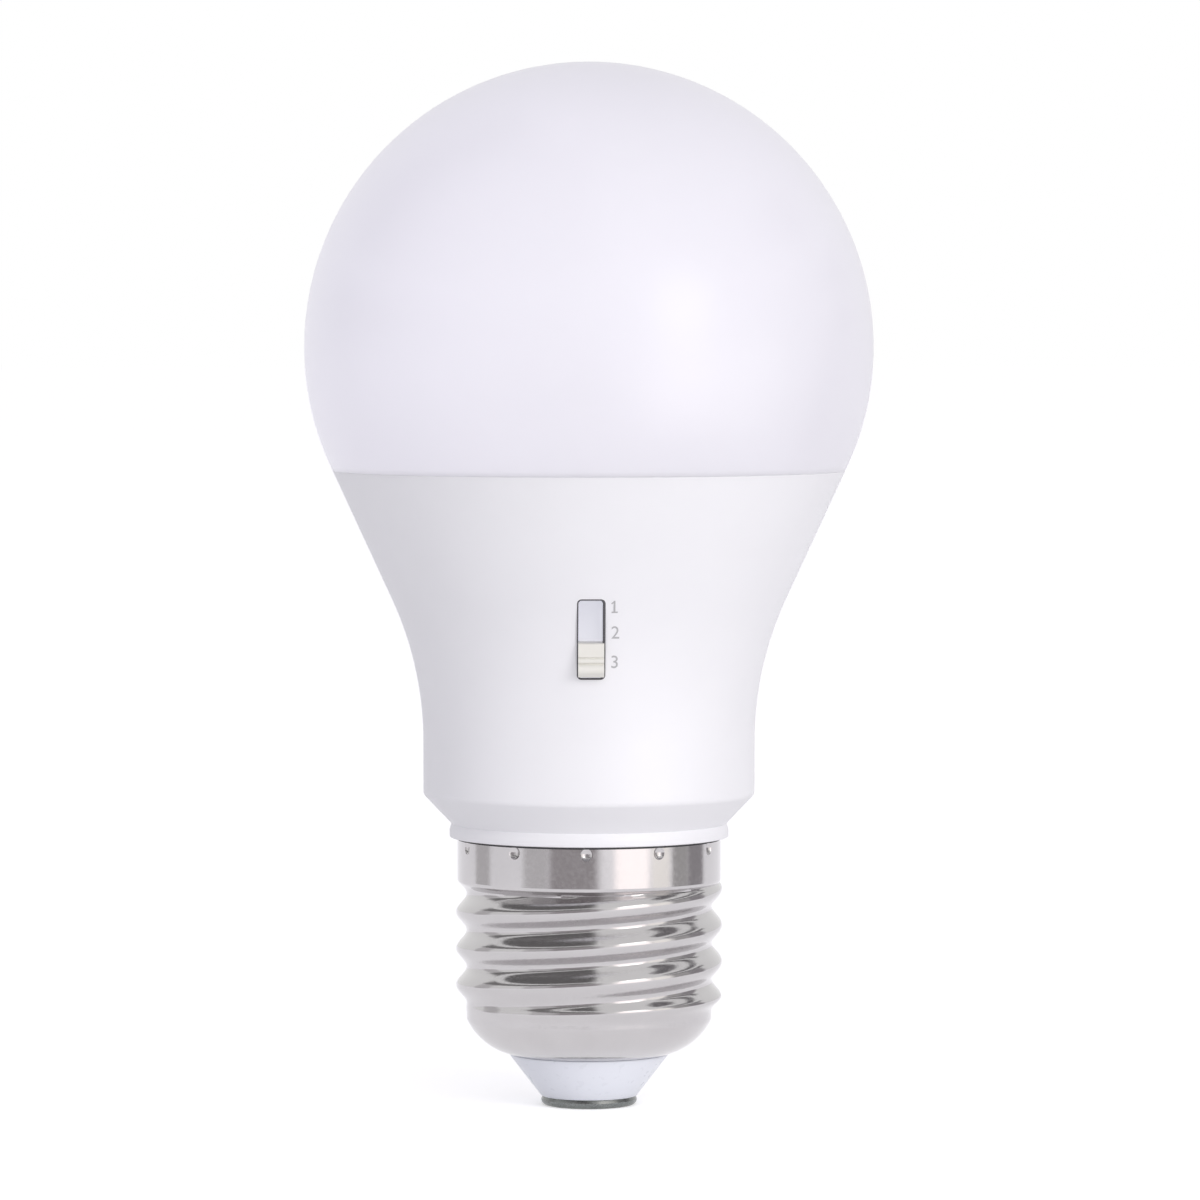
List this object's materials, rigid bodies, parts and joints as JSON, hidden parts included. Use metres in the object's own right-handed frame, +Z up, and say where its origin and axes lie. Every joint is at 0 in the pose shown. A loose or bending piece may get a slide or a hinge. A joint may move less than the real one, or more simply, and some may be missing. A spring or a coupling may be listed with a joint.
{
  "type": "colour-changing LED bulb",
  "caption": "Globe light bulb with a milky diffuser, a white flared housing with a small slide switch for the light's colour, and an E27 screw cap.",
  "frame": {"origin": "centre of the centre contact's underside, where the bulb stands on its cap", "axes": "+Z up along the lamp axis towards the top of the globe, -Y towards the side with the slide switch"},
  "size_m": [0.0562, 0.0562, 0.1032],
  "materials": {
    "diffuser_plastic": "milky, smooth",
    "housing_plastic": "white, fine satin",
    "cap_metal": "bright nickel plate, rolled",
    "insulator_plastic": "pale bluish white",
    "contact_metal": "plated, dull",
    "knob_plastic": "cream",
    "shutter_plastic": "pale lavender white",
    "sink_metal": "pressed sheet",
    "light_board": "white solder mask",
    "driver_laminate": "paper laminate",
    "pink_chip": "phosphor window",
    "orange_chip": "phosphor window",
    "purple_chip": "phosphor window",
    "steel": "plated",
    "brass": "bright",
    "black_plastic": "moulded",
    "white_plastic": "moulded",
    "can_sleeve": "shrink sleeve",
    "film_plastic": "yellow moulded box",
    "red_wire": "insulation",
    "blue_wire": "insulation"
  },
  "bodies": {
    "bulb": {"diffuser": "diffuser_plastic", "housing": "housing_plastic", "screw_shell": "cap_metal", "cap_insulator": "insulator_plastic", "centre_contact": "contact_metal", "heat_sink": "sink_metal", "led_board": "light_board", "leds_pink": "pink_chip", "leds_orange": "orange_chip", "leds_purple": "purple_chip", "led_board_screws": "steel", "board_socket": "white_plastic", "header_block": "black_plastic", "header_pins": "brass", "driver_board": "driver_laminate", "bulk_capacitor": "can_sleeve", "inductor": "can_sleeve", "film_capacitor": "film_plastic", "output_capacitor": "can_sleeve", "bridge_rectifier": "black_plastic", "driver_chip": "black_plastic", "fuse_resistor": "white_plastic", "chip_resistors": "black_plastic", "switch_frame": "steel", "switch_base": "black_plastic", "switch_terminals": "brass", "live_wire": "red_wire", "neutral_wire": "blue_wire"},
    "slider": {"switch_knob": "knob_plastic", "switch_actuator": "white_plastic", "switch_contact": "brass", "dust_shutter": "shutter_plastic"}
  },
  "joints": [
    {"name": "switch_slide", "type": "slide", "parent": "bulb", "child": "slider", "axis": [0, 0, 1], "range_m": [0, 0.004]}
  ]
}
